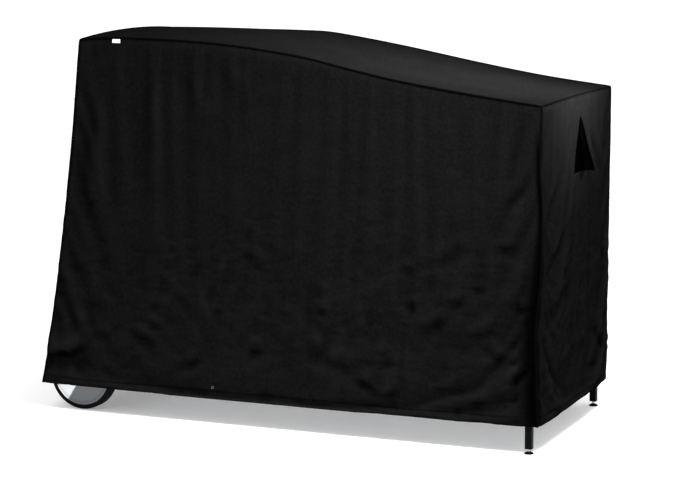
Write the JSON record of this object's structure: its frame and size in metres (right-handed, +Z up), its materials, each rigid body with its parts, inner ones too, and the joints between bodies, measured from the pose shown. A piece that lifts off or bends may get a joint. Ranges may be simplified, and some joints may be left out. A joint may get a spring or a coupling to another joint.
{
  "type": "grill cover",
  "caption": "Fitted black fabric cover with vent flaps, sewn seams and a level hem, standing over a two-wheeled grill cart on levelling feet.",
  "frame": {"origin": "centre of the bounding box's bottom face, on the ground", "axes": "+X along the cover from the hood end to the table end, +Y from its front to its back, +Z up"},
  "size_m": [1.5748, 0.6816, 1.117],
  "materials": {
    "cover_fabric": "matt coated woven polyester, nearly black",
    "binding_fabric": "black woven binding tape and piping",
    "vent_mesh": "black mesh",
    "label": "pale woven patch, plain",
    "eyelet_metal": "dark nickel",
    "tyre_rubber": "black, matt",
    "stainless": "brushed, turned on the wheels",
    "zinc_plate": "bright zinc plate",
    "black_plastic": "matt black",
    "black_paint": "black powder coat"
  },
  "bodies": {
    "cart": {"axle": "zinc_plate", "base_shelf": "stainless", "firebox": "black_paint", "front_axle_cap": "black_plastic", "front_axle_collar": "zinc_plate", "front_axle_spacer": "zinc_plate", "front_leg": "black_paint", "front_leg_plug": "black_plastic", "front_lower_rail": "black_paint", "front_upper_rail": "black_paint", "front_upright": "black_paint", "front_worktop_post": "black_paint", "hood": "black_paint", "hood_handle": "stainless", "left_cross_rail": "black_paint", "left_firebox_bearer": "black_paint", "rear_axle_cap": "black_plastic", "rear_axle_collar": "zinc_plate", "rear_axle_spacer": "zinc_plate", "rear_leg": "black_paint", "rear_leg_plug": "black_plastic", "rear_lower_rail": "black_paint", "rear_upper_rail": "black_paint", "rear_upright": "black_paint", "rear_worktop_post": "black_paint", "right_cross_rail": "black_paint", "right_firebox_bearer": "black_paint", "worktop": "stainless"},
    "cover": {"front_panel": "cover_fabric", "back_panel": "cover_fabric", "top_panel": "cover_fabric", "right_panel": "cover_fabric", "left_panel": "cover_fabric", "right_vent_mesh": "vent_mesh", "left_vent_mesh": "vent_mesh", "front_hem": "binding_fabric", "back_hem": "binding_fabric", "right_hem": "binding_fabric", "left_hem": "binding_fabric", "front_top_piping": "binding_fabric", "back_top_piping": "binding_fabric", "left_top_piping": "binding_fabric", "right_top_piping": "binding_fabric", "front_left_piping": "binding_fabric", "front_right_piping": "binding_fabric", "back_left_piping": "binding_fabric", "back_right_piping": "binding_fabric", "sewn_label": "label", "hem_eyelet": "eyelet_metal"},
    "right_flap": {"right_vent_flap": "cover_fabric"},
    "left_flap": {"left_vent_flap": "cover_fabric"},
    "front_wheel": {"front_wheel_disc": "stainless", "front_tyre": "tyre_rubber"},
    "rear_wheel": {"rear_wheel_disc": "stainless", "rear_tyre": "tyre_rubber"},
    "front_foot": {"front_foot_pad": "black_plastic", "front_foot_stem": "zinc_plate"},
    "rear_foot": {"rear_foot_pad": "black_plastic", "rear_foot_stem": "zinc_plate"}
  },
  "joints": [
    {"name": "cover_lift", "type": "slide", "parent": "cart", "child": "cover", "axis": [0, 0, 1], "range_m": [0, 1.06]},
    {"name": "right_flap_hinge", "type": "hinge", "parent": "cover", "child": "right_flap", "pos_m": [0.74438, 0.07775, 0.736], "axis": [0, -0.3306, 0.9438], "range_deg": [-38, 8]},
    {"name": "left_flap_hinge", "type": "hinge", "parent": "cover", "child": "left_flap", "pos_m": [-0.69616, -0.07625, 0.72962], "axis": [0.1339, 0.3306, 0.9342], "range_deg": [-38, 8]},
    {"name": "front_wheel_spin", "type": "hinge", "parent": "cart", "child": "front_wheel", "pos_m": [-0.67742, -0.28025, 0.1025], "axis": [0, 1, 0], "continuous": true},
    {"name": "rear_wheel_spin", "type": "hinge", "parent": "cart", "child": "rear_wheel", "pos_m": [-0.67742, 0.28175, 0.1025], "axis": [0, 1, 0], "continuous": true},
    {"name": "front_foot_screw", "type": "slide", "parent": "cart", "child": "front_foot", "axis": [0, 0, 1], "range_m": [-0.02, 0.006]},
    {"name": "rear_foot_screw", "type": "slide", "parent": "cart", "child": "rear_foot", "axis": [0, 0, 1], "range_m": [-0.02, 0.006]}
  ]
}
